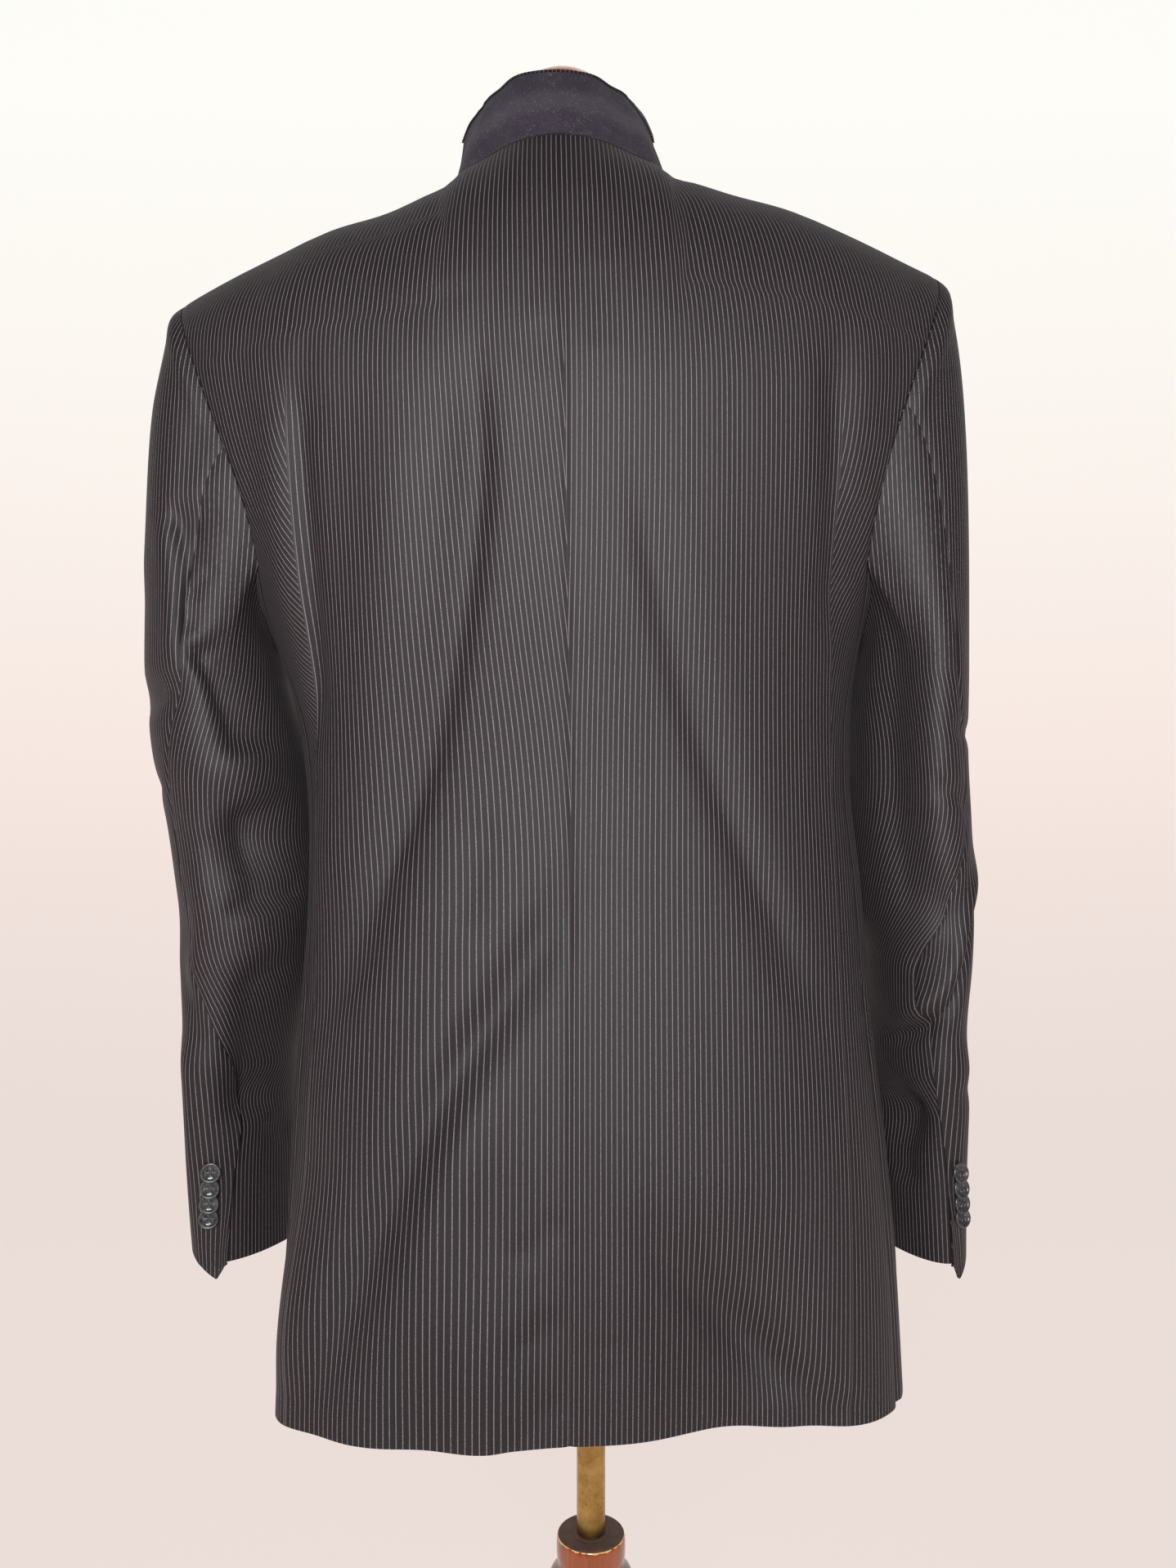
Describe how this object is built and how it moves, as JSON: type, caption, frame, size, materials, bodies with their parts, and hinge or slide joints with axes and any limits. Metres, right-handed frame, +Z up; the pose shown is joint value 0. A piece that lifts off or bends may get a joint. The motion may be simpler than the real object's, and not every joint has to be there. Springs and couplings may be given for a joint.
{
  "type": "blazer on dress form",
  "caption": "Dark pinstripe suit blazer with its felt-backed collar turned up, hanging on a limbless cloth-covered dress form with a turned wooden stand.",
  "frame": {"origin": "on the floor, centre of the base's flat underside, under the pole", "axes": "+Z up, +Y out of the jacket's front (buttons), -X towards the jacket's left sleeve as seen from behind"},
  "size_m": [0.5406, 0.36, 1.586],
  "materials": {
    "pinstripe_cloth": "worsted wool suiting, near black with a warm cast, fine pale grey woven pinstripe about 3 mm apart",
    "undercollar_felt": "matted wool felt, dark grey violet, with lint",
    "button_resin": "dark grey horn-look resin, satin",
    "form_cover": "plain natural linen stretched over the form",
    "varnished_wood": "reddish brown turned hardwood, glossy varnish",
    "pole_brass": "dull brushed brass tube"
  },
  "bodies": {
    "root": {"back_left": "pinstripe_cloth", "side_left": "pinstripe_cloth", "front_left": "pinstripe_cloth", "lapel_left": "pinstripe_cloth", "pocket_flap_left": "pinstripe_cloth", "sleeve_top_left": "pinstripe_cloth", "sleeve_under_left": "pinstripe_cloth", "cuff_button_left_1": "button_resin", "cuff_button_left_2": "button_resin", "cuff_button_left_3": "button_resin", "cuff_button_left_4": "button_resin", "back_right": "pinstripe_cloth", "side_right": "pinstripe_cloth", "front_right": "pinstripe_cloth", "lapel_right": "pinstripe_cloth", "pocket_flap_right": "pinstripe_cloth", "sleeve_top_right": "pinstripe_cloth", "sleeve_under_right": "pinstripe_cloth", "cuff_button_right_1": "button_resin", "cuff_button_right_2": "button_resin", "cuff_button_right_3": "button_resin", "cuff_button_right_4": "button_resin", "undercollar": "undercollar_felt", "top_collar": "pinstripe_cloth", "front_button_1": "button_resin", "front_button_2": "button_resin", "dress_form": "form_cover", "neck_cap": "varnished_wood", "pole": "pole_brass", "stem": "varnished_wood", "base": "varnished_wood"}
  },
  "joints": []
}
